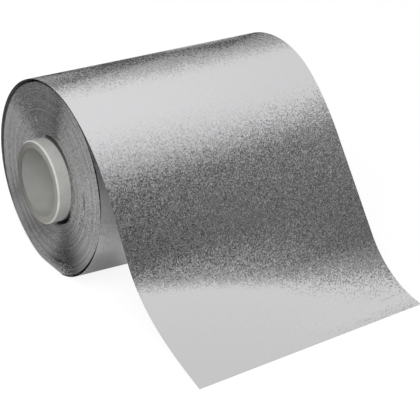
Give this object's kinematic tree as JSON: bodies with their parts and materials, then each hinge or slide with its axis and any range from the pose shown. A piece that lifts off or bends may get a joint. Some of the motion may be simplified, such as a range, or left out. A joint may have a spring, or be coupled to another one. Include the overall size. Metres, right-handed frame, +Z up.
{
  "type": "hair foil roll",
  "caption": "Roll of embossed aluminium hair foil wound on an open cardboard tube, lying on its side with the loose last turn running down the front on to the table.",
  "frame": {"origin": "middle of the small flat under the roll, on the table, straight below the middle of the roll's axis", "axes": "+X along the roll's axis, -Y to the front, where the free end comes down, +Z up"},
  "size_m": [0.1322, 0.1631, 0.086],
  "materials": {
    "cardboard": "matte grey-white board, spiral wound",
    "foil": "bright foil with a fine embossed grain"
  },
  "bodies": {
    "root": {"core_tube": "cardboard", "foil": "foil"}
  },
  "joints": []
}
